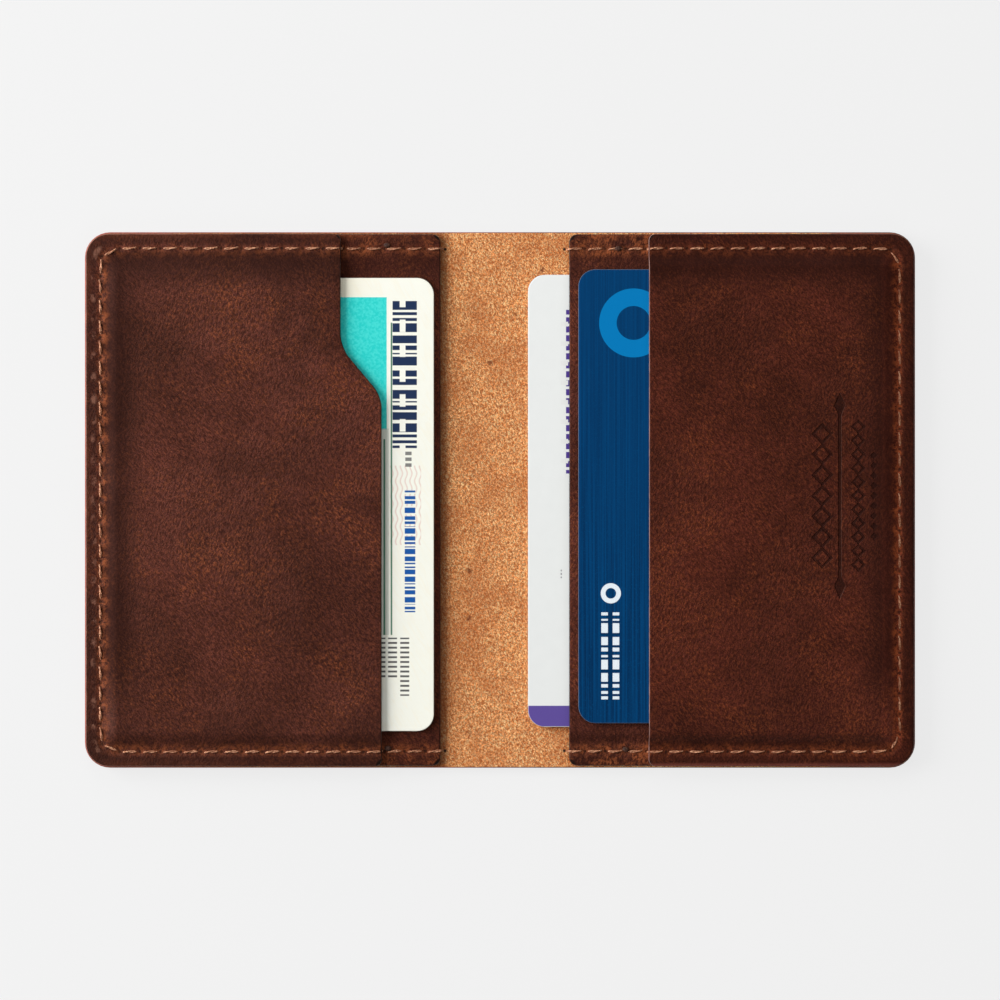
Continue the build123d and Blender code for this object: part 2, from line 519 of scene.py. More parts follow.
# %% [markdown]
# ## Finish: leather grain
#
# The pockets are waxed pull-up leather. Close up it has a fine pebble of pores, hair-like
# wrinkles that run slantwise, and a cloudy colour where the wax has moved. Pores could be
# modelled, but they are countless and too shallow to change an outline, so noise and bump
# stand for them. All leathers share this, so it is one node group. It puts out a height for
# the bump, three masks and a fine speckle, and each leather makes its colours from them.

# %% Group: leather grain
tree, given, end = new_group(
    "leather grain",
    [("Place", "v"), ("Wrinkles", "f")],
    [("Height", "f"), ("Cloud", "f"), ("Patch", "f"), ("Hair", "f"), ("Speck", "f")],
)
place = given["Place"]
pores = put(tree, "ShaderNodeTexVoronoi", {"Vector": place, "Scale": 2300.0}).outputs[0]
pebble = cloud(tree, place, 1500.0, 2.0, 0.6)
first_way = cloud(tree, stretch(tree, place, (3000, 1250, 900), 38), 1.0, 3.0, 0.6, 0.7)
second_way = cloud(tree, stretch(tree, place, (3000, 1250, 900), -20), 1.0, 3.0, 0.6, 0.7)
choice = span(tree, cloud(tree, place, 48.0, 1.0), 0.42, 0.58)
hair = blend_colour(tree, choice, first_way, second_way)
hair = span(tree, hair, 0.40, 0.60)
grain = calc(tree, "ADD", times(tree, pores, 0.35), times(tree, pebble, 0.5))
creased = times(tree, hair, given["Wrinkles"])
height = calc(tree, "ADD", grain, creased)
wide = cloud(tree, place, 38.0, 3.0, 0.55)
fine = cloud(tree, place, 190.0, 4.0, 0.6)
clouds = calc(tree, "ADD", times(tree, wide, 0.6), times(tree, fine, 0.4))
patch = span(tree, cloud(tree, place, 85.0, 5.0, 0.68), 0.46, 0.70)
flecks = span(tree, cloud(tree, stretch(tree, place, (2100, 1250, 900), 38), 1.0, 4.0, 0.72), 0.42, 0.60)
few = calc(tree, "ADD", times(tree, patch, 0.7), 0.3)
results = {
    "Height": height,
    "Cloud": span(tree, clouds, 0.34, 0.66),
    "Patch": times(tree, flecks, few),
    "Hair": hair,
    "Speck": span(tree, cloud(tree, place, 5200.0, 2.0, 0.7), 0.38, 0.62, 0.66, 1.36),
}
grain_group = finish_group(tree, end, results)
print("group:", grain_group.name)

# %% [markdown]
# ## Finish: what the seam does to the leather
#
# Each stitch pulls the leather down, and rubbing wears the raised rim round the holes to a warm orange. The
# awl holes are not cut, so a dark spot is painted for the shade in each, and shade is painted on the slope
# just inside the seam. The pattern reads the two numbers stored for each point, so it follows the seam round
# its corners and repeats once per stitch. Marks painted on a map would need a new map for each piece, and
# this needs none.

# %% Group: seam marks
tree, given, end = new_group(
    "seam marks",
    [("Seam", "v"), ("Place", "v")],
    [("Hole", "f"), ("Halo", "f"), ("Dimple", "f"), ("Valley shade", "f"), ("Margin", "f"), ("Band", "f"),
     ("Scuff", "f")],
)
parts = axes(tree, given["Seam"])
along, off = parts[0], parts[1]
phase = calc(tree, "SUBTRACT", calc(tree, "FRACT", calc(tree, "ADD", along, 0.5)), 0.5)
step = times(tree, phase, STITCH_PITCH / MM)
reach = how_far(tree, step, off)
after = calc(tree, "GREATER_THAN", along, -0.3)
last = calc(tree, "ADD", parts[2], 0.3)
inside = times(tree, after, calc(tree, "LESS_THAN", along, last))
hole = times(tree, span(tree, reach, 0.42, 0.14), inside)
uneven = span(tree, cloud(tree, given["Place"], 1300.0, 5.0, 0.75), 0.40, 0.62)
inward = calc(tree, "ADD", off, 0.75)
bulge = how_far(tree, step, inward)
where = axes(tree, given["Place"])
# The painted shade of the valley is weaker along the bottom row, and the rubbing fainter along the top one.
low_row = span(tree, where[1], -30 * MM, -43 * MM)
top_row = span(tree, where[1], 44 * MM, 46 * MM)
strip = span(tree, calc(tree, "ABSOLUTE", calc(tree, "ADD", off, 0.35)), 1.5, 0.3)
glow = calc(tree, "ADD", times(tree, span(tree, bulge, 1.9, 0.1), 0.55), times(tree, strip, 0.45))
halo = times(tree, times(tree, glow, uneven), inside)
halo = times(tree, halo, calc(tree, "SUBTRACT", 1.0, times(tree, top_row, 0.45)))
pull = times(tree, span(tree, reach, 1.3, 0.2), inside)
line = times(tree, span(tree, calc(tree, "ABSOLUTE", off), 0.9, 0.1), inside)
dimple = calc(tree, "ADD", pull, times(tree, line, 0.45))
# Painted shade on the slope just inside the seam.
valley_shade = times(tree, span(tree, off, -9.5, -2.6), span(tree, off, 0.1, -1.1))
valley_shade = times(tree, valley_shade, calc(tree, "SUBTRACT", 1.0, times(tree, low_row, 0.75)))
outward = calc(tree, "SUBTRACT", off, 1.25)
slid = times(tree, step, 0.55)
spot = calc(tree, "ADD", times(tree, slid, slid), times(tree, outward, outward))
# Scuffs lie only along the left outer edge.
column = span(tree, where[0], -74.2 * MM, -75.4 * MM)
flecks = span(tree, cloud(tree, given["Place"], 260.0, 5.0, 0.75), 0.46, 0.60)
scuff = times(tree, times(tree, span(tree, spot, 0.55, 0.02), flecks), column)
results = {"Hole": hole, "Halo": halo, "Dimple": dimple, "Valley shade": valley_shade, "Scuff": scuff}
results["Margin"] = span(tree, off, 0.3, 1.3)
results["Band"] = span(tree, off, -1.9, -0.5)
seam_group = finish_group(tree, end, results)
print("group:", seam_group.name)

# %% [markdown]
# ## Finish: the waxed grain side
#
# The colour starts from the leather's body colour. Clouds darken it, patches warm it, shade is painted
# deepest on the slope beside the seam, the rim of the wallet is worn to orange, or darkened on the right
# front pocket, and round the stitch holes it is worn to orange too, while each hole is painted dark as its
# shade. Relief comes from the grain and from the dimples of the seam, as bump. Each piece could have its own
# tree, but one function keeps them all of one hide.

# %% Waxed leather
def waxed_leather(name, body, deep, warm, patches=0.6, edge=0.12, rim_tone=None, band=0.0,
                  margin=0.36, valley_shade_share=0.75):
    """The grain side of a leather: body colour, its darkest tone and its worn tone.
    band is how much a wide strip along the seam has worn to the warm tone, margin is how much the strip
    outside the seam has darkened, and the share for the valley is how much shade is painted on the slope
    inside it."""
    material, tree, shader = new_material(name)
    place = stored(tree, "flat")
    grain = place_group(tree, grain_group, {"Place": place, "Wrinkles": 0.55})
    marks = place_group(tree, seam_group, {"Seam": stored(tree, "seam"), "Place": place})
    colour = blend_colour(tree, grain["Cloud"], toned(body, 0.62), toned(body, 1.48))
    colour = blend_colour(tree, times(tree, grain["Patch"], patches), colour, warm)
    creases = times(tree, calc(tree, "SUBTRACT", 1.0, grain["Hair"]), 0.62)
    colour = blend_colour(tree, creases, colour, deep)
    colour = blend_colour(tree, 1.0, colour, grain["Speck"], "MULTIPLY")
    # Painted shade on the slope inside the seam.
    colour = blend_colour(tree, times(tree, marks["Valley shade"], valley_shade_share), colour, deep)
    colour = blend_colour(tree, times(tree, marks["Margin"], margin), colour, deep)
    if band:
        blotch = span(tree, cloud(tree, place, 210.0, 6.0, 0.8), 0.44, 0.60)
        blotch = times(tree, blotch, span(tree, grain["Hair"], -0.2, 0.9))
        rubbed = times(tree, times(tree, marks["Band"], blotch), band)
        colour = blend_colour(tree, rubbed, colour, warm)
    rubbed = times(tree, marks["Halo"], 0.6)
    colour = blend_colour(tree, rubbed, colour, warm)
    brink = span(tree, stored(tree, "rim", "Fac"), 2.2, 0.3)
    worn = times(tree, brink, span(tree, grain["Cloud"], 0.2, 0.8))
    colour = blend_colour(tree, times(tree, worn, edge), colour, rim_tone or warm)
    pale = (0.40, 0.18, 0.12, 1)
    colour = blend_colour(tree, times(tree, marks["Scuff"], 0.38), colour, pale)
    # Painted shade: the stitch holes are not cut, so each is painted near black. The nicks at the free
    # corners are darkened to the same tone.
    hole_shade_and_nick_dark = (0.008, 0.004, 0.003, 1)
    colour = blend_colour(tree, times(tree, marks["Hole"], 0.75), colour, hole_shade_and_nick_dark)
    ragged = times(tree, grain["Cloud"], 0.35)
    nick = span(tree, calc(tree, "SUBTRACT", stored(tree, "nick", "Fac"), ragged), 0.30, 0.45)
    colour = blend_colour(tree, nick, colour, hole_shade_and_nick_dark)
    height = calc(tree, "SUBTRACT", times(tree, grain["Height"], 0.5),
                  times(tree, marks["Dimple"], 1.3))
    rough = span(tree, grain["Cloud"], 0.0, 1.0, 0.56, 0.46)
    rough = calc(tree, "ADD", rough, times(tree, marks["Valley shade"], 0.3), clamp=True)
    wire(tree, shader, colour, rough, height, 0.1 * MM)
    shader.inputs["Specular IOR Level"].default_value = 0.2
    shader.inputs["Specular Tint"].default_value = (0.60, 0.34, 0.24, 1)
    return material


body_left, deep_left, warm_left = rgb(77, 40, 33), rgb(34, 14, 11), rgb(146, 78, 44)
body_right, deep_right, warm_right = rgb(71, 31, 23), rgb(34, 11, 8), rgb(132, 66, 36)
left_front_grain = waxed_leather("left front grain", body_left, deep_left, warm_left, margin=0.55)
left_back_grain = waxed_leather(
    "left back grain", rgb(80, 37, 29), deep_left, warm_left, 0.5, 0.35, band=0.55, valley_shade_share=0.5)
right_back_grain = waxed_leather(
    "right back grain", rgb(80, 40, 33), deep_right, rgb(156, 84, 48), 0.45, 0.4, band=0.68, valley_shade_share=0.35)
outer_left = waxed_leather("left outer grain", rgb(80, 40, 31), deep_left, warm_left, 0.6, 0.4)
outer_right = waxed_leather("right outer grain", rgb(76, 36, 28), deep_right, warm_left, 0.6, 0.4)
print("leathers:", [m.name for m in bpy.data.materials if "grain" in m.name])

# %% [markdown]
# ## Finish: a plain pressed ornament
#
# The right front pocket carries a small blind-stamped ornament near its outer edge. Here it
# is a maker's plain device: a long rule with a lozenge at each end, and columns of small
# lozenges beside it. It could be cut into the mesh, but lines this thin would take thousands
# of faces. Distance sums in nodes draw each shape as a mask instead, and the mask presses
# the leather down and darkens it.

# %% Group: pressed ornament
tree, given, end = new_group("pressed ornament", [("Place", "v")], [("Mark", "f")])
parts = axes(tree, given["Place"])
ORNAMENT_X, ORNAMENT_Y = 64.0, 0.8
mark_x = calc(tree, "SUBTRACT", times(tree, parts[0], 1000.0), ORNAMENT_X)
mark_y = calc(tree, "SUBTRACT", times(tree, parts[1], 1000.0), ORNAMENT_Y)
tall = calc(tree, "ABSOLUTE", mark_y)


def stroke(distance, half):
    """1 within half a line's width of zero distance."""
    return span(tree, calc(tree, "ABSOLUTE", distance), half + 0.12, half - 0.04)


within = span(tree, tall, 16.2, 16.0)
rule = times(tree, stroke(mark_x, 0.24), within)
tip = calc(tree, "ABSOLUTE", calc(tree, "SUBTRACT", tall, 17.0))
lozenge = calc(tree, "ADD", times(tree, calc(tree, "ABSOLUTE", mark_x), 2.3), tip)
points = span(tree, lozenge, 2.6, 2.2)


def lozenge_column(offset, radius, half_length, period, weight=0.16):
    """A column of small lozenges beside the rule."""
    centred = calc(tree, "PINGPONG", mark_y, period / 2)
    across = calc(tree, "SUBTRACT", mark_x, offset)
    total = calc(tree, "ADD", calc(tree, "ABSOLUTE", across), centred)
    away = calc(tree, "SUBTRACT", total, radius)
    return times(tree, stroke(away, weight), span(tree, tall, half_length + 0.1, half_length))


large = lozenge_column(-3.3, 1.7, 13.6, 3.9, 0.28)
small = lozenge_column(3.5, 1.05, 14.2, 2.6, 0.24)
dots = lozenge_column(6.4, 0.3, 8.5, 1.9, 0.3)
mark = calc(tree, "MAXIMUM", rule, points)
for column in (large, small, dots):
    mark = calc(tree, "MAXIMUM", mark, column)
ornament_group = finish_group(tree, end, {"Mark": mark})
print("group:", ornament_group.name)

# %% The right front leather, with its ornament
# On this leather the rim tone is its deepest tone, so the rim is darkened, not worn orange.
right_front_grain = waxed_leather(
    "right front grain", body_right, deep_right, warm_right, 0.75, 0.95, deep_right)
tree = right_front_grain.node_tree
shader = tree.nodes["Principled BSDF"]
pressed = place_group(tree, ornament_group, {"Place": stored(tree, "flat")})["Mark"]
plain = shader.inputs["Base Color"].links[0].from_socket
darkened = blend_colour(tree, times(tree, pressed, 0.72), plain, rgb(30, 11, 9))
tree.links.new(darkened, shader.inputs["Base Color"])
across = axes(tree, stored(tree, "flat"))
# Painted light: the slope inside the outer seam faces away from the key light, so its colour is lifted there
# to keep its shade from going black.
painted_light_slope = times(
    tree, span(tree, across[0], 71.4 * MM, 73.4 * MM), span(tree, across[0], 76.2 * MM, 75.6 * MM))
painted_light_slope = times(tree, painted_light_slope, span(tree, calc(tree, "ABSOLUTE", across[1]), 47.2 * MM, 44.5 * MM))
before = shader.inputs["Base Color"].links[0].from_socket
slope_with_painted_light = blend_colour(tree, 1.0, before, (2.6, 2.5, 2.4, 1), "MULTIPLY")
slope_with_painted_light = blend_colour(tree, painted_light_slope, before, slope_with_painted_light)
# The rim along the bottom is rubbed to a dull red.
low_rim = times(tree, span(tree, across[1], -49.4 * MM, -50.3 * MM), 0.8)
tree.links.new(blend_colour(tree, low_rim, slope_with_painted_light, rgb(118, 62, 52)), shader.inputs["Base Color"])
bump = shader.inputs["Normal"].links[0].from_node
relief = bump.inputs["Height"].links[0].from_socket
deeper = calc(tree, "SUBTRACT", relief, times(tree, pressed, 2.6))
tree.links.new(deeper, bump.inputs["Height"])
print("ornament pressed into:", right_front_grain.name)

# %% [markdown]
# ## Finish: the flesh side and the cut edges
#
# The middle of the wallet shows the leather's flesh side: tan, short-napped, with pale
# fibres, darker pits and a cloudy stain. The nap is loose fibre, and could be made as hair
# strands, but so short a nap shows little of them, so layered noise stands for it. The cut
# edges are rubbed with a dark edge paint that has worn through in places.

# %% Flesh side
def flesh_side(name, low, middle, high, shade=None):
    """The napped side of a leather, from its pit colour to its fibre colour. shade is the x of a pocket's
    edge beside which a shadow of that edge is painted on, darkest at the edge. shade is the x of a
    pocket's edge that it is darker beside, as if oil had soaked in, which is a guess."""
    material, tree, shader = new_material(name)
    place = stored(tree, "flat")
    marks = place_group(tree, seam_group, {"Seam": stored(tree, "seam"), "Place": place})
    bank = cloud(tree, place, 80.0, 3.0, 0.6, 0.4)
    nap = cloud(tree, place, 2500.0, 4.0, 0.75)
    tufts = cloud(tree, stretch(tree, place, (3700, 1700, 1), 24), 1.0, 4.0, 0.72, 0.8)
    slanted = cloud(tree, stretch(tree, place, (4800, 1900, 1), -38), 1.0, 3.0, 0.7, 1.0)
    fibres = span(tree, slanted, 0.55, 0.65)
    colour = blend_colour(tree, span(tree, nap, 0.42, 0.58), low, middle)
    colour = blend_colour(tree, times(tree, span(tree, tufts, 0.50, 0.62), 0.75), colour, high)
    colour = blend_colour(tree, times(tree, fibres, 0.6), colour, high)
    gaps = span(tree, tufts, 0.46, 0.36)
    colour = blend_colour(tree, times(tree, gaps, 0.55), colour, low)
    colour = blend_colour(tree, times(tree, span(tree, bank, 0.56, 0.38), 0.4), colour, low)
    pit_and_shadow_tone = (0.34 * low[0], 0.22 * low[1], 0.2 * low[2], 1.0)
    pits = span(tree, cloud(tree, place, 900.0, 4.0, 0.8), 0.62, 0.72)
    colour = blend_colour(tree, times(tree, pits, 0.7), colour, pit_and_shadow_tone)
    grit = span(tree, cloud(tree, place, 5600.0, 2.0, 0.7), 0.38, 0.62, 0.72, 1.30)
    colour = blend_colour(tree, 1.0, colour, grit, "MULTIPLY")
    wired = {"Vector": place, "Scale": 1400.0, "Detail": 3.0}
    wobble = put(tree, "ShaderNodeTexNoise", wired).outputs["Color"]
    wired = {0: wobble, 1: (1.1 * MM, 1.1 * MM, 0), 2: place}
    shifted = put(tree, "ShaderNodeVectorMath", wired, operation="MULTIPLY_ADD")
    dots = put(tree, "ShaderNodeTexVoronoi", {"Vector": shifted.outputs[0], "Scale": 210.0}).outputs
    few = span(tree, axes(tree, dots["Color"])[0], 0.55, 0.62)
    specks = times(tree, span(tree, dots["Distance"], 0.15, 0.05), few)
    colour = blend_colour(tree, times(tree, specks, 0.75), colour, pit_and_shadow_tone)
    # Painted shadow of the pocket's edge, darkest right beside it. It uses the pit tone.
    if shade:
        across = axes(tree, place)[0]
        under = times(tree, span(tree, across, shade + 2.6 * MM, shade), 0.62)
        colour = blend_colour(tree, under, colour, pit_and_shadow_tone)
    # Painted shade: each stitch hole is painted near black, since it is not cut.
    colour = blend_colour(tree, marks["Hole"], colour, (0.01, 0.005, 0.003, 1))
    sides = calc(tree, "ABSOLUTE", axes(tree, place)[0])
    near_rim = span(tree, stored(tree, "rim", "Fac"), 1.0, 0.7)
    dyed = times(tree, near_rim, span(tree, sides, 60 * MM, 64 * MM))
    colour = blend_colour(tree, times(tree, dyed, 0.85), colour, rgb(150, 84, 66))
    height = calc(tree, "ADD", nap, times(tree, tufts, 0.6))
    wire(tree, shader, colour, None, height, 0.22 * MM)
    shader.inputs["Roughness"].default_value = 0.92
    shader.inputs["Specular IOR Level"].default_value = 0.15
    shader.inputs["Sheen Weight"].default_value = 0.12
    shader.inputs["Sheen Roughness"].default_value = 0.6
    return material


tan_flesh = flesh_side(
    "tan flesh", rgb(172, 88, 36), rgb(238, 154, 86), rgb(255, 222, 162), -left_back_edge)
dark_flesh = flesh_side("pocket flesh", rgb(120, 70, 44), rgb(150, 92, 60), rgb(180, 122, 86))
print("flesh sides:", tan_flesh.name, "and", dark_flesh.name)


# %% Cut edges
def cut_edge(name, paint, bare, worn, far_paint=None, turn=(-30, 30)):
    """A painted or burnished edge. worn is how much has rubbed through. far_paint is its
    tone further right, past turn in millimetres, if that differs."""
    material, tree, shader = new_material(name)
    place = stored(tree, "flat")
    rub = span(tree, cloud(tree, place, 330.0, 4.0, 0.65), 0.66 - 0.3 * worn, 0.78 - 0.3 * worn)
    layers = cloud(tree, stretch(tree, place, (600, 600, 4200)), 1.0, 3.0, 0.6)
    colour = blend_colour(tree, rub, paint, bare)
    if far_paint:
        across = axes(tree, place)[0]
        rubbed = tuple(0.6 * a + 0.4 * b for a, b in zip(far_paint, bare))
        far = blend_colour(tree, rub, far_paint, rubbed)
        past = span(tree, across, turn[0] * MM, turn[1] * MM)
        colour = blend_colour(tree, past, colour, far)
    darker = times(tree, span(tree, layers, 0.45, 0.7), 0.4)
    colour = blend_colour(tree, darker, colour, toned(paint, 0.6))
    wire(tree, shader, colour, span(tree, rub, 0, 1, 0.48, 0.75), layers, 0.05 * MM)
    shader.inputs["Specular IOR Level"].default_value = 0.25
    return material


far_edge = rgb(34, 17, 13)
cover_edge = cut_edge("burnished cover edge", rgb(136, 48, 40), rgb(160, 76, 62), 0.6, rgb(66, 29, 22))
dark_edge = cut_edge("painted edge", rgb(30, 15, 12), rgb(84, 44, 32), 0.2)
left_edge = cut_edge(
    "left pocket edge", rgb(104, 64, 52), rgb(140, 102, 88), 0.65, far_edge, (-60, -45))
right_edge = cut_edge(
    "right pocket edge", rgb(104, 74, 68), rgb(130, 98, 90), 0.7, far_edge, (34, 50))
print("edges:", [m.name for m in bpy.data.materials if "edge" in m.name])

# %% [markdown]
# ## Cutting a leather blank
#
# A leather piece starts as a flat outline, just as it is cut. A plane gets its corners
# rounded with a vertex bevel, is extruded to its thickness, and its rims are softened with
# an edge bevel. Then bisect cuts lay a net of lines over it, close together where the
# leather bends and wide apart where it stays flat, so it can be formed. A grid would be
# dense from the start, but its corners would be ragged, and bisect keeps the outline.

# %% Outline and thickness
NEAR = 0.01 * MM


def blank(name, low, high, seat):
    """A rectangle of leather before its corners are rounded, lying at height seat."""
    fresh()
    middle = ((low[0] + high[0]) / 2, (low[1] + high[1]) / 2, seat)
    bpy.ops.mesh.primitive_plane_add(size=1, location=middle)
    obj = bpy.context.object
    obj.name = obj.data.name = name
    obj.scale = (high[0] - low[0], high[1] - low[1], 1)
    apply_place(obj)
    return obj


def round_corner(obj, x, y, offset, segments=8):
    """Round the corner of a flat outline that lies at (x, y)."""
    mesh = edit(obj)
    choose(obj, mesh.verts, lambda v: abs(v.co.x - x) < NEAR and abs(v.co.y - y) < NEAR)
    bpy.ops.mesh.bevel(offset=offset, segments=segments, affect="VERTICES")
    fresh()


def thicken(obj, thick, rim, segments=3, beyond=-1.0):
    """Give a flat outline its thickness, then round its upper and lower rims, apart from
    any that lie no further than beyond from the middle of the wallet."""
    edit(obj, "FACE")
    bpy.ops.mesh.select_all(action="SELECT")
    bpy.ops.mesh.extrude_region_move(TRANSFORM_OT_translate={"value": (0, 0, thick)})
    bpy.ops.mesh.select_all(action="SELECT")
    bpy.ops.mesh.normals_make_consistent(inside=False)
    mesh = edit(obj, "EDGE")
    choose(obj, mesh.edges, lambda e: abs(e.verts[0].co.z - e.verts[1].co.z) < NEAR
           and max(abs(v.co.x) for v in e.verts) > beyond)
    bpy.ops.mesh.bevel(offset=rim, segments=segments, affect="EDGES")
    fresh()


def finishes(obj, top, bottom, side):
    """Put the three materials of a leather on its top, its bottom and its cut edge."""
    for material in (side, top, bottom):
        obj.data.materials.append(material)
    mesh = edit(obj, "FACE")
    choose(obj, mesh.faces, lambda f: f.normal.z > 0.93)
    obj.active_material_index = 1
    bpy.ops.object.material_slot_assign()
    bpy.ops.mesh.select_all(action="DESELECT")
    mesh = bmesh.from_edit_mesh(obj.data)
    choose(obj, mesh.faces, lambda f: f.normal.z < -0.93)
    obj.active_material_index = 2
    bpy.ops.object.material_slot_assign()
    fresh()


print("outline and thickness ready")


# %% The net, and what each point keeps
def net(obj, across, along):
    """Cut the piece along lines at each x in across and each y in along."""
    edit(obj)
    for place in across:
        bpy.ops.mesh.select_all(action="SELECT")
        bpy.ops.mesh.bisect(plane_co=(place, 0, 0), plane_no=(1, 0, 0), threshold=NEAR / 5)
    for place in along:
        bpy.ops.mesh.select_all(action="SELECT")
        bpy.ops.mesh.bisect(plane_co=(0, place, 0), plane_no=(0, 1, 0), threshold=NEAR / 5)
    fresh()


def spaced(low, high, gap):
    """Places from low to high, about gap apart."""
    count = max(1, round(abs(high - low) / gap))
    return [low + (high - low) * i / count for i in range(count + 1)]


def mirrored(places):
    """The same places on both sides of zero."""
    return [-place for place in reversed(places)] + list(places)


def keep_flat(obj, side):
    """Store where each point lies flat, where it is along the seam, and how near the rim."""
    points = points_of(obj)
    along, off = seams[side].measure(points)
    keep_values(obj, "flat", points)
    count = np.full_like(off, seams[side].stitches)
    keep_values(obj, "seam", np.stack([along, off, count], axis=1))
    to_side = half_width - np.abs(points[:, 0])
    to_end = half_height - np.abs(points[:, 1])
    keep_values(obj, "rim", np.minimum(to_side, to_end) / MM)
    return points


print("net ready")

# %% [markdown]
# ## Forming a pocket
#
# A sewn pocket is pressed over its cards while damp. It stays up over the cards, falls in a
# soft slope just inside the seam, and lies flat on the leather under it along the seam. The
# lift below is 1 over the cards and 0 at the seam, with an S-shaped slope between, and hand
# forming leaves it slightly uneven. Cloth simulation could press it down, but this leather is
# stiff and sewn on three sides, and a formula gives the same shape each time.

# %% Helper for forming
def formed(obj, side, rise, slopes, outer, free_edges):
    """Raise a flat pocket over its cards. slopes gives the top and bottom (start, end), and
    free_edges where the free edge meets the top and the bottom."""
    points = keep_flat(obj, side)
    x, y = np.abs(points[:, 0]), points[:, 1]
    top_edge, low_edge = free_edges
    to_top = np.hypot(x - top_edge, y - pocket_y)
    to_low = np.hypot(x - low_edge, y - y.min())
    keep_values(obj, "nick", np.clip(1 - np.minimum(to_top, to_low) / (2.2 * MM), 0, 1))
    (top_start, top_end), (low_start, low_end) = slopes
    lift = 1 - ease((y - top_start) / (top_end - top_start))
    lift = lift * (1 - ease((-y - low_start) / (low_end - low_start)))
    lift = lift * (1 - ease((x - outer[0]) / (outer[1] - outer[0])))
    wave = [noise.noise(Vector((70 * p[0], 70 * p[1], 7.0 * side))) for p in points]
    soft = 0.14 * MM * np.array(wave) * lift * np.clip((x - 30 * MM) / (12 * MM), 0, 1)
    points[:, 2] += rise * lift + np.clip(soft, -0.03 * MM, 0.04 * MM)
    set_points(obj, points)


def pocket_net(free_edge):
    """The lines that a pocket is cut along: fine round the seam, wide over the cards."""
    across = [free_edge + 0.32 * MM] + spaced(free_edge + 1.2 * MM, 71.5 * MM, 1.6 * MM)
    across += spaced(71.9 * MM, outer_x - 0.5 * MM, 0.42 * MM)
    ends = spaced(41.4 * MM, pocket_y - 0.6 * MM, 0.42 * MM)
    middle = spaced(-40.2 * MM, 40.2 * MM, 1.7 * MM)
    return across, mirrored(ends) + middle


def finish_pocket(obj, side, node, seat, rim, faces, slopes, outer, free_edges, trim=0.0):
    """Thicken a pocket's outline, form it, and let it stand for its CAD node. faces are its
    grain side and its cut edge, and trim keeps its top that much below the node's."""
    thicken(obj, leather, rim)
    finishes(obj, faces[0], dark_flesh, faces[1])
    across, along = pocket_net(min(free_edges))
    net(obj, [side * place for place in across], along)
    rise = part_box(node)[1].z - leather - seat - trim
    formed(obj, side, rise, slopes, outer, free_edges)
    smooth(obj)
    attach(obj, BODIES[side])
    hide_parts(node)
    print(obj.name, "faces", len(obj.data.polygons))


print("forming ready")

# %% [markdown]
# ## The back pockets
#
# Each back pocket is the lower of the two pocket leathers. Only a strip of it shows between
# the flesh side and the front pocket. Its free corners are rounded off a little.

# %% Left back pocket
POCKET_CORNER = 4.3 * MM
BACK_FREE_CORNER = 1.5 * MM
BACK_RIM = 0.22 * MM
BACK_OUTER = (71.9 * MM, 74.6 * MM)

left_back = blank("left-back-pocket", (-outer_x, -pocket_y), (-left_back_edge, pocket_y), back_seat)
for end_y in (-pocket_y, pocket_y):
    round_corner(left_back, -outer_x, end_y, POCKET_CORNER)
    round_corner(left_back, -left_back_edge, end_y, BACK_FREE_CORNER, 5)
slopes = ((42.0 * MM, 46.5 * MM), (43.7 * MM, 47.0 * MM))
finish_pocket(
    left_back, LEFT, "left_back_pocket", back_seat, BACK_RIM, (left_back_grain, dark_edge),
    slopes, BACK_OUTER, (left_back_edge, left_back_edge))

# %% Right back pocket
right_back = blank("right-back-pocket", (right_back_edge, -pocket_y), (outer_x, pocket_y), back_seat)
for end_y in (-pocket_y, pocket_y):
    round_corner(right_back, outer_x, end_y, POCKET_CORNER)
    round_corner(right_back, right_back_edge, end_y, BACK_FREE_CORNER, 5)
slopes = ((43.75 * MM, 46.4 * MM), (43.75 * MM, 46.4 * MM))
finish_pocket(
    right_back, RIGHT, "right_back_pocket", back_seat, BACK_RIM, (right_back_grain, dark_edge),
    slopes, BACK_OUTER, (right_back_edge, right_back_edge))

# %% [markdown]
# ## The front pockets
#
# The right one is a plain panel. The left one has a thumb notch: its free edge steps back
# in a soft S. A Boolean could cut it, but often leaves thin faces. Instead that
# edge is subdivided, the two new points are slid to where the slant meets the straight
# runs, and vertex bevels round both bends.

# %% Right front pocket
FRONT_FREE_CORNER = 1.2 * MM
FRONT_RIM = 0.2 * MM
FRONT_TRIM = 0.02 * MM

right_front = blank("right-front-pocket", (right_front_edge, -pocket_y), (outer_x, pocket_y), front_seat)
for end_y in (-pocket_y, pocket_y):
    round_corner(right_front, outer_x, end_y, POCKET_CORNER)
    round_corner(right_front, right_front_edge, end_y, FRONT_FREE_CORNER, 4)
slopes = ((43.9 * MM, 46.9 * MM), (43.9 * MM, 46.9 * MM))
finish_pocket(
    right_front, RIGHT, "right_front_pocket", front_seat, FRONT_RIM, (right_front_grain, right_edge),
    slopes, (72.3 * MM, 75.3 * MM), (right_front_edge, right_front_edge), FRONT_TRIM)

# %% Left front pocket
# Where the notch's slant meets the straight runs of the free edge, as on the CAD part.
NOTCH_TOP = (30.1 * MM, 28.85 * MM)
NOTCH_LOW = (left_front_edge_low, 19.6 * MM)
left_front = blank(
    "left-front-pocket", (-outer_x, -pocket_y), (-left_front_edge_low, pocket_y), front_seat)


def on_free_edge(vertex):
    """Whether a vertex lies on the left front pocket's free edge."""
    return abs(vertex.co.x + left_front_edge_low) < NEAR


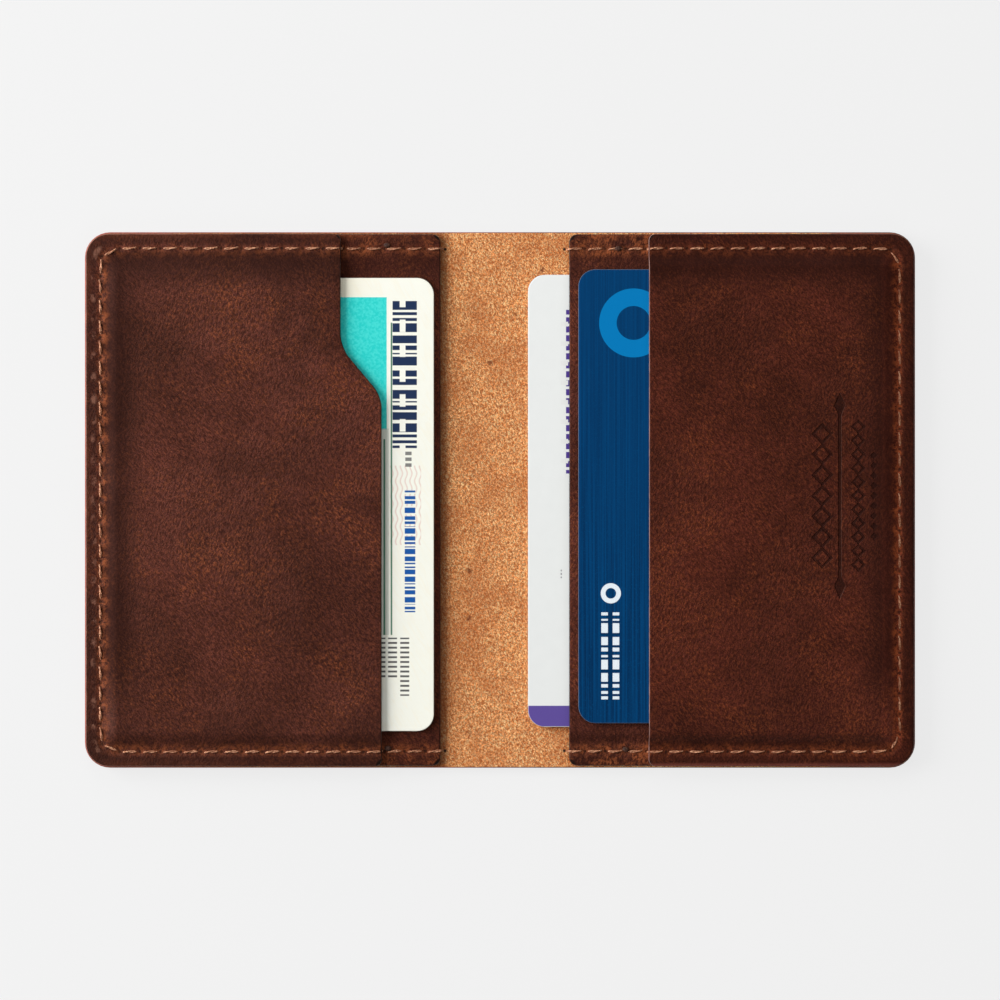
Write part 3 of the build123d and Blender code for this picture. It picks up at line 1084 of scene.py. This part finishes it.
mesh = edit(left_front, "EDGE")
choose(left_front, mesh.edges, lambda e: all(on_free_edge(v) for v in e.verts))
bpy.ops.mesh.subdivide(number_cuts=2, ngon=True)
mesh = edit(left_front)
free_side = sorted(filter(on_free_edge, mesh.verts), key=lambda v: v.co.y)
free_side[1].co = (-NOTCH_LOW[0], NOTCH_LOW[1], front_seat)
free_side[2].co = (-NOTCH_TOP[0], NOTCH_TOP[1], front_seat)
free_side[3].co.x = -NOTCH_TOP[0]
bmesh.update_edit_mesh(left_front.data)
round_corner(left_front, -NOTCH_LOW[0], NOTCH_LOW[1], 2.18 * MM, 8)
round_corner(left_front, -NOTCH_TOP[0], NOTCH_TOP[1], 2.55 * MM, 8)
for end_y in (-pocket_y, pocket_y):
    round_corner(left_front, -outer_x, end_y, POCKET_CORNER)
round_corner(left_front, -NOTCH_TOP[0], pocket_y, FRONT_FREE_CORNER, 4)
round_corner(left_front, -NOTCH_LOW[0], -pocket_y, FRONT_FREE_CORNER, 4)
slopes = ((42.2 * MM, 46.5 * MM), (43.9 * MM, 47.0 * MM))
finish_pocket(
    left_front, LEFT, "left_front_pocket", front_seat, FRONT_RIM, (left_front_grain, left_edge),
    slopes, (72.15 * MM, 75.25 * MM), (NOTCH_TOP[0], NOTCH_LOW[0]), FRONT_TRIM)

# %% [markdown]
# ## The cover
#
# The cover is one thick leather, flesh side in. It folds round a narrow spine by two bends, so it is made as
# two pieces that meet in the middle of the spine. The net is fine over the spine, so that it can curve. Along
# the seam the outside has a groove that the thread lies in.

# %% The two cover pieces
GROOVE_DEPTH = 0.42 * MM
COVER_CORNER = 4.8 * MM
COVER_RIM = 0.3 * MM


def cover_half(name, side, grain):
    """One half of the cover, from the middle of the spine to its outer edge."""
    low = (min(0, side * half_width), -half_height)
    high = (max(0, side * half_width), half_height)
    obj = blank(name, low, high, 0)
    for end_y in (-half_height, half_height):
        round_corner(obj, side * half_width, end_y, COVER_CORNER)
    thicken(obj, cover_thick, COVER_RIM, beyond=NEAR)
    finishes(obj, tan_flesh, grain, cover_edge)
    across = [1.0 * MM] + spaced(spine_half - 1.9 * MM, spine_half, 0.2 * MM)
    across += spaced(spine_half + 0.9 * MM, 73.4 * MM, 1.8 * MM)
    across += spaced(73.9 * MM, half_width - 0.5 * MM, 0.3 * MM)
    ends = spaced(45.7 * MM, half_height - 0.5 * MM, 0.3 * MM)
    middle = spaced(-44.5 * MM, 44.5 * MM, 2.2 * MM)
    net(obj, [side * place for place in across], mirrored(ends) + middle)
    points = keep_flat(obj, side)
    along, off = seams[side].measure(points)
    reach = (along > -0.35) & (along < seams[side].stitches + 0.35)
    groove = np.exp(-(off / 0.42) ** 4) * reach * (points[:, 2] < 0.1 * MM)
    points[:, 2] += GROOVE_DEPTH * groove
    set_points(obj, points)
    smooth(obj)
    return obj


cover_on_left = cover_half("left-cover", LEFT, outer_left)
cover_on_right = cover_half("right-cover", RIGHT, outer_right)
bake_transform(cover_on_right)
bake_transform(cover_on_left)
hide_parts("cover_right", "cover_spine")
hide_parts("cover_left")
print("cover faces", len(cover_on_left.data.polygons), len(cover_on_right.data.polygons))

# %% [markdown]
# ## Finish: waxed thread
#
# The thread is tan and waxed, two plies twisted together. The twist is modelled, so the material adds only
# what is finer: lighter fibres, and a darker tone in patches where wax and dirt have settled.

# %% Waxed thread
def waxed_thread(name, low, high):
    """A waxed thread, from its dirty tone to its clean one."""
    material, tree, shader = new_material(name)
    place = put(tree, "ShaderNodeTexCoord").outputs["Object"]
    fibre = cloud(tree, place, 3200.0, 3.0, 0.6)
    wear = cloud(tree, place, 240.0, 2.0, 0.6)
    colour = blend_colour(tree, span(tree, fibre, 0.38, 0.66), low, high)
    dirt = times(tree, span(tree, wear, 0.56, 0.40), 0.55)
    colour = blend_colour(tree, dirt, colour, low)
    wire(tree, shader, colour, span(tree, fibre, 0, 1, 0.5, 0.7), fibre, 0.05 * MM)
    return material


thread_finish = waxed_thread("waxed thread", rgb(144, 88, 60), rgb(218, 162, 126))
thread_finish.node_tree.nodes["Principled BSDF"].inputs["Specular IOR Level"].default_value = 0.3
print("thread finish ready")

# %% [markdown]
# ## One stitch
#
# A stitch is two plies lying side by side and twisted round each other. Two small rings
# are extruded together a step at a time, and turned a little after each step, so that they
# wind into a helix. Then both ends are bent down into their holes. A bevelled curve would
# be quicker, but shows no plies. The stitch is modelled once, with few faces, because it is
# copied more than two hundred times.

# %% Model a stitch
PLY = 0.135 * MM
STEPS = 5
TWIST = 290

fresh()
for ply_side in (-1, 1):
    bpy.ops.mesh.primitive_circle_add(
        vertices=5, radius=PLY, fill_type="NGON",
        location=(0, ply_side * PLY * 0.92, 0), rotation=(0, math.pi / 2, 0))
    bpy.context.object.name = "ply"
    bpy.context.object.select_set(True)
for obj in bpy.data.objects:
    obj.select_set(obj.name.startswith("ply"))
bpy.ops.object.join()
stitch = bpy.context.object
stitch.name = "stitch"
apply_place(stitch)
edit(stitch, "FACE")
bpy.ops.mesh.select_all(action="SELECT")
step = STITCH_PITCH / STEPS
for count in range(STEPS):
    bpy.ops.mesh.extrude_region_move(TRANSFORM_OT_translate={"value": (step, 0, 0)})
    bpy.ops.transform.rotate(
        value=math.radians(TWIST / STEPS), orient_axis="X", orient_type="GLOBAL",
        center_override=((count + 1) * step, 0, 0))
smooth(stitch, 70)
points = points_of(stitch)
from_middle = np.abs(2 * points[:, 0] / STITCH_PITCH - 1)
points[:, 2] -= 0.62 * MM * from_middle ** 5
points[:, 0] = STITCH_PITCH * (0.5 + (points[:, 0] / STITCH_PITCH - 0.5) * 0.90)
set_points(stitch, points)
stitch.data.materials.append(thread_finish)
print("stitch faces", len(stitch.data.polygons))

# %% [markdown]
# ## Sewing the seams
#
# A copy of the stitch is laid between each two neighbouring holes. On the top row the seam
# climbs from the flesh side onto the back pocket and then onto the front one, so the joined
# thread is lifted by the height of the leather under it. Real stitches lie at a slight
# slant and no two are quite alike, so each gets a small turn from a fixed random seed. An
# Array modifier would be shorter to write, but makes every stitch the same.

# %% Sewing
random.seed(7)
FRONT_EDGES = {LEFT: (NOTCH_TOP[0], left_front_edge_low), RIGHT: (right_front_edge, right_front_edge)}
BACK_EDGES = {LEFT: left_back_edge, RIGHT: right_back_edge}
CLIMB = 0.6 * MM


def seam_floor(side, points):
    """The height of the leather's upper face along the seam."""
    x = np.abs(points[:, 0])
    front = np.where(points[:, 1] > 0, FRONT_EDGES[side][0], FRONT_EDGES[side][1])
    height = cover_thick + leather * ease((x - BACK_EDGES[side] + CLIMB) / CLIMB)
    return height + leather * ease((x - front + CLIMB) / CLIMB)


def sew(name, side, above):
    """Lay a stitch between each two holes, and join them into one thread."""
    holes = seams[side].holes()
    copies = []
    for start, stop in zip(holes, holes[1:]):
        run = Vector((stop[0] - start[0], stop[1] - start[1], 0))
        slant = math.radians(3.5 + random.uniform(-2.2, 2.2)) * (1 if above else -1)
        turn = Matrix.Rotation(math.atan2(run.y, run.x), 4, "Z")
        middle = Matrix.Translation(Vector((start[0], start[1], 0)) + run / 2)
        lean = Matrix.Rotation(slant, 4, "Z")
        back = Matrix.Translation((-STITCH_PITCH / 2, 0, 0))
        size = Matrix.Diagonal((run.length / STITCH_PITCH, 1, random.uniform(0.9, 1.1), 1))
        roll = Matrix.Rotation(0 if above else math.pi, 4, "X")
        copy = bpy.data.objects.new(name, stitch.data.copy())
        copy.matrix_world = middle @ turn @ lean @ roll @ size @ back
        bpy.context.scene.collection.objects.link(copy)
        copies.append(copy)
    fresh()
    for copy in copies:
        copy.select_set(True)
    bpy.context.view_layer.objects.active = copies[0]
    bpy.ops.object.join()
    thread = bpy.context.object
    thread.name = thread.data.name = name
    apply_place(thread)
    points = points_of(thread)
    if above:
        points[:, 2] += seam_floor(side, points) + 0.09 * MM
    else:
        points[:, 2] += 0.36 * MM
    set_points(thread, points)
    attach(thread, BODIES[side])
    return thread


for side, word in ((LEFT, "left"), (RIGHT, "right")):
    for above, face, kind in ((True, "inside", "needle"), (False, "outside", "bobbin")):
        thread = sew(f"{word}-thread-{face}", side, above)
        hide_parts(f"{word}_{kind}_thread")
        print(thread.name, "faces", len(thread.data.polygons))
bpy.data.objects.remove(stitch)

# %% [markdown]
# ## Thread ends
#
# Where the sewing starts and stops, the thread end is melted into a small bead beside the seam. A sphere is
# flattened and pushed out of round, so it looks like a drop. The CAD has no such bead, so the four places are
# given one by one on the back pockets' strips.

# %% Melted ends
bead_finish = waxed_thread("melted thread", rgb(46, 26, 19), rgb(92, 58, 44))
bead_finish.node_tree.nodes["Principled BSDF"].inputs["Specular IOR Level"].default_value = 0.2


def melted_end(name, side, x, y, seed):
    """A bead of melted thread lying on the back pocket's strip."""
    fresh()
    floor_height = cover_thick + leather + 0.1 * MM
    bpy.ops.mesh.primitive_ico_sphere_add(subdivisions=3, radius=0.55 * MM, location=(x, y, floor_height))
    bead = bpy.context.object
    bead.name = bead.data.name = name
    bead.scale = (1.15, 0.9, 0.55)
    apply_place(bead)
    edit(bead)
    bpy.ops.mesh.select_all(action="SELECT")
    bpy.ops.transform.vertex_random(offset=0.05 * MM, uniform=0.1, normal=0.8, seed=seed)
    fresh()
    pick(bead)
    bpy.ops.object.shade_smooth()
    bead.data.materials.append(bead_finish)
    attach(bead, BODIES[side])


melted_end("left-end-top", LEFT, -21.4 * MM, 48.2 * MM, 1)
melted_end("left-end-low", LEFT, -21.2 * MM, -47.0 * MM, 2)
melted_end("right-end-top", RIGHT, 22.4 * MM, 47.6 * MM, 3)
melted_end("right-end-low", RIGHT, 23.8 * MM, -47.2 * MM, 4)
print("thread ends ready")

# %% [markdown]
# ## The cards
#
# A plastic card has one standard size, with rounded corners and hardly any edge radius.
# Its print is drawn by a small node group that masks a rectangle. An image could carry it,
# but masks stay sharp at any distance and need no file. The prints are plain blocks and
# rules: nothing on them can be read.

# %% Group: printed rectangle
tree, given, end = new_group(
    "printed block", [("Place", "v"), ("Centre", "v"), ("Half", "v"), ("Soft", "f")], [("Mask", "f")])
shifted = put(tree, "ShaderNodeVectorMath", {0: given["Place"], 1: given["Centre"]}, operation="SUBTRACT")
unsigned = put(tree, "ShaderNodeVectorMath", {0: shifted.outputs[0]}, operation="ABSOLUTE")
beyond = put(tree, "ShaderNodeVectorMath", {0: unsigned.outputs[0], 1: given["Half"]}, operation="SUBTRACT")
away = axes(tree, beyond.outputs[0])
furthest = calc(tree, "MAXIMUM", away[0], away[1])
inner = times(tree, given["Soft"], -1.0)
block_group = finish_group(tree, end, {"Mask": span(tree, furthest, given["Soft"], inner)})
print("group:", block_group.name)

# %% [markdown]
# ## Finish: card laminate
#
# A clear film covers a card's print. It is never quite flat, and carries hair-fine
# scratches that run mostly one way. Both are too shallow to model, so a group gives their
# relief and their wear to every card.

# %% Group: card laminate
tree, given, end = new_group("card laminate", [("Place", "v")], [("Height", "f"), ("Wear", "f")])
ripple = cloud(tree, given["Place"], 60.0, 2.0)
fine = cloud(tree, given["Place"], 2600.0, 2.0)
scratch_a = cloud(tree, stretch(tree, given["Place"], (4200, 90, 1), 12), 1.0, 2.0, 0.5, 0.2)
scratch = span(tree, scratch_a, 0.66, 0.74)
height = calc(tree, "ADD", times(tree, fine, 0.15), times(tree, ripple, 0.4))
laminate_group = finish_group(tree, end, {"Height": height, "Wear": scratch})
print("group:", laminate_group.name)


# %% The print of a card
class Print:
    """The print of one card: a ground colour, and blocks of colour laid on it."""

    def __init__(self, name, ground):
        self.material, self.tree, self.shader = new_material(name)
        place = put(self.tree, "ShaderNodeTexCoord").outputs["Object"]
        self.mm = put(self.tree, "ShaderNodeVectorMath", {0: place, 1: (1000, 1000, 1000)},
                      operation="MULTIPLY").outputs[0]
        self.laminate = place_group(self.tree, laminate_group, {"Place": place})
        parts = axes(self.tree, self.mm)
        self.x, self.y = parts[0], parts[1]
        tint = cloud(self.tree, place, 400.0, 2.0)
        self.colour = blend_colour(self.tree, tint, toned(ground, 0.96), ground)

    def block(self, x, y, wide, tall, soft=0.04):
        """The mask of a rectangle with its middle at (x, y), in millimetres."""
        wired = {"Place": self.mm, "Centre": (x, y, 0), "Half": (wide / 2, tall / 2, 0), "Soft": soft}
        return place_group(self.tree, block_group, wired)["Mask"]

    def dashes(self, x, y, wide, tall, period, share, value=None):
        """A block broken up along y into dashes."""
        phase = calc(self.tree, "FRACT", calc(self.tree, "DIVIDE", value or self.y, period))
        gaps = span(self.tree, calc(self.tree, "PINGPONG", phase, 0.5), share / 2 + 0.02, share / 2 - 0.02)
        return times(self.tree, self.block(x, y, wide, tall), gaps)

    def lay(self, mask, colour, strength=1.0):
        """Print a colour where the mask is."""
        if strength != 1.0:
            mask = times(self.tree, mask, strength)
        self.colour = blend_colour(self.tree, mask, self.colour, colour)

    def done(self, rough=0.34):
        """Wire the print and the laminate into the shader."""
        rough = span(self.tree, self.laminate["Wear"], 0, 1, rough, rough + 0.12)
        wire(self.tree, self.shader, self.colour, rough, self.laminate["Height"], 0.02 * MM)
        return self.material


print("print ready")

# %% A card
CARD_CORNER = 3.18 * MM


def card(name, node, face, core):
    """A card in the place of its CAD node: face material on both sides, core on its edge."""
    low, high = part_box(node)
    obj = blank(name, (low.x, low.y), (high.x, high.y), low.z)
    for x in (low.x, high.x):
        for y in (low.y, high.y):
            round_corner(obj, x, y, CARD_CORNER, 10)
    thicken(obj, high.z - low.z, 0.07 * MM, 2)
    mesh = edit(obj, "FACE")
    choose(obj, mesh.faces, lambda f: abs(f.normal.z) > 0.99)
    bpy.ops.mesh.inset(thickness=0.12 * MM, use_individual=True)
    finishes(obj, face, face, core)
    smooth(obj)
    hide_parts(node)
    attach(obj, node)
    return obj


def card_core(name, colour):
    """The cut edge of a card, where its layers show as faint lines."""
    material, tree, shader = new_material(name)
    place = put(tree, "ShaderNodeTexCoord").outputs["Object"]
    layers = cloud(tree, stretch(tree, place, (120, 120, 5200)), 1.0, 2.0)
    face = blend_colour(tree, layers, toned(colour, 0.8), colour)
    wire(tree, shader, face, None, layers, 0.02 * MM)
    shader.inputs["Roughness"].default_value = 0.5
    return material


print("card helpers ready")

# %% [markdown]
# ## The three cards
#
# Each card is a ground colour with blocks, dashes and rules laid on it in turn, as a press
# lays down one ink after another. Places on a card are in millimetres, from the middle of
# the open wallet. One long list could hold them all, but a card to a cell is easier to read.

# %% Cream card
cream = Print("cream card print", rgb(250, 250, 238))
haze = cloud(cream.tree, stretch(cream.tree, cream.mm, (0.9, 0.16, 1), 28), 1.0, 2.0, 0.5, 1.5)
cream.lay(span(cream.tree, haze, 0.45, 0.65), rgb(248, 243, 224), 0.4)
cream.lay(span(cream.tree, cream.x, -21.0, -34.0), rgb(250, 240, 210), 0.7)
speckle = cloud(cream.tree, cream.mm, 2.2, 3.0)
teal = blend_colour(cream.tree, span(cream.tree, speckle, 0.35, 0.65), rgb(34, 208, 202), rgb(70, 222, 214))
cream.lay(cream.block(-37.0, 25.8, 31.2, 25.0), teal)
wave = calc(cream.tree, "SINE", times(cream.tree, cream.y, 2.2))
ripples = calc(cream.tree, "ADD", times(cream.tree, cream.x, 7.0), times(cream.tree, wave, 1.4))
ripples = calc(cream.tree, "SINE", ripples)
guilloche = times(cream.tree, span(cream.tree, ripples, 0.2, 0.9), cream.block(-18.0, -1.0, 6.2, 15.0))
cream.lay(guilloche, rgb(226, 188, 178), 0.55)
cream.lay(cream.dashes(-18.0, 23.8, 4.6, 28.0, 3.3, 0.84), rgb(30, 48, 82))
cream.lay(cream.dashes(-18.0, 23.8, 4.8, 28.2, 2.1, 0.2), rgb(248, 248, 236))
cream.lay(cream.dashes(-18.4, 23.8, 1.1, 28.2, 4.7, 0.5), rgb(248, 248, 236))
cream.lay(cream.block(-25.8, -6.0, 9.6, 39.0), rgb(196, 204, 192), 0.6)
cream.lay(cream.block(-21.85, -7.0, 0.34, 37.0), rgb(16, 104, 74), 0.9)
cream.lay(cream.block(-20.5, 4.0, 0.30, 59.0), rgb(16, 104, 74), 0.9)
cream.lay(cream.dashes(-17.0, -9.7, 2.0, 23.0, 1.9, 0.78), rgb(24, 88, 164))
cream.lay(cream.dashes(-17.0, -9.7, 2.2, 23.2, 1.3, 0.2), rgb(248, 248, 236))
cream.lay(cream.dashes(-17.3, 7.6, 1.2, 3.2, 1.1, 0.6), rgb(60, 60, 66), 0.8)
for row_x, row_y, row_length in ((-18.0, -31.5, 11.0), (-20.3, -29.9, 7.8), (-22.5, -29.9, 7.8)):
    cream.lay(cream.dashes(row_x, row_y, 1.7, row_length, 0.9, 0.42), rgb(40, 40, 46), 0.9)
cream_card = card("cream-card", "id_card", cream.done(), card_core("cream card edge", rgb(238, 232, 214)))
print(cream_card.name, "ready")

# %% Blue card
blue = Print("blue card print", rgb(0, 44, 84))
brushed = cloud(blue.tree, stretch(blue.tree, blue.mm, (4.0, 0.02, 1)), 1.0, 4.0, 0.65)
blue.lay(span(blue.tree, brushed, 0.40, 0.62), rgb(0, 70, 122), 0.8)
speckle = cloud(blue.tree, blue.mm, 5.0, 2.0)
blue.lay(span(blue.tree, speckle, 0.55, 0.70), rgb(0, 84, 138), 0.35)
slope = span(blue.tree, calc(blue.tree, "ADD", blue.y, times(blue.tree, blue.x, 0.5)), -30.0, 46.0)
blue.lay(slope, rgb(0, 60, 108), 0.5)


def around(design, x, y):
    """The distance from a point, in millimetres."""
    here = put(design.tree, "ShaderNodeVectorMath", {0: design.mm, 1: (x, y, 0)}, operation="SUBTRACT")
    flat = put(design.tree, "ShaderNodeVectorMath", {0: here.outputs[0], 1: (1, 1, 0)}, operation="MULTIPLY")
    return put(design.tree, "ShaderNodeVectorMath", {0: flat.outputs[0]}, operation="LENGTH").outputs["Value"]


def ring(design, x, y, outer, inner):
    """The mask of a ring round a point, with its two radii in millimetres."""
    away = around(design, x, y)
    within = span(design.tree, away, outer + 0.05, outer - 0.05)
    return times(design.tree, within, span(design.tree, away, inner - 0.05, inner + 0.05))


blue.lay(ring(blue, 25.2, 33.4, 6.5, 3.2), rgb(2, 120, 184))
blue.lay(blue.dashes(20.8, -29.4, 3.4, 16.4, 3.4, 0.8), rgb(232, 240, 246))
blue.lay(blue.dashes(20.8, -29.4, 3.6, 16.6, 2.3, 0.2), rgb(0, 47, 88))
blue.lay(blue.block(20.8, -29.4, 0.9, 16.6), rgb(0, 47, 88))
blue.lay(ring(blue, 20.9, -17.6, 1.9, 1.0), rgb(232, 240, 246))
blue.shader.inputs["Specular IOR Level"].default_value = 0.25
blue_card = card("blue-card", "blue_card", blue.done(0.3), card_core("blue card edge", rgb(70, 96, 120)))
print(blue_card.name, "ready")

# %% White card
white = Print("white card print", rgb(236, 238, 236))
white.lay(white.block(32.0, -40.9, 60.0, 3.9), rgb(95, 77, 153))
white.lay(white.dashes(14.0, 20.5, 3.0, 31.0, 1.7, 0.7), rgb(80, 58, 142))
white.lay(white.dashes(12.2, 20.5, 1.4, 31.0, 3.7, 0.24), rgb(231, 232, 230))
white.lay(white.dashes(11.6, -14.0, 0.25, 1.6, 0.7, 0.6), rgb(120, 120, 124), 0.8)
white_core = card_core("white card edge", rgb(214, 214, 210))
white_card = card("white-card", "white_card", white.done(0.36), white_core)
print(white_card.name, "ready")

# %% [markdown]
# ## Finish the frame
#
# Nothing is left selected at the end.

# %% Finish
fresh()
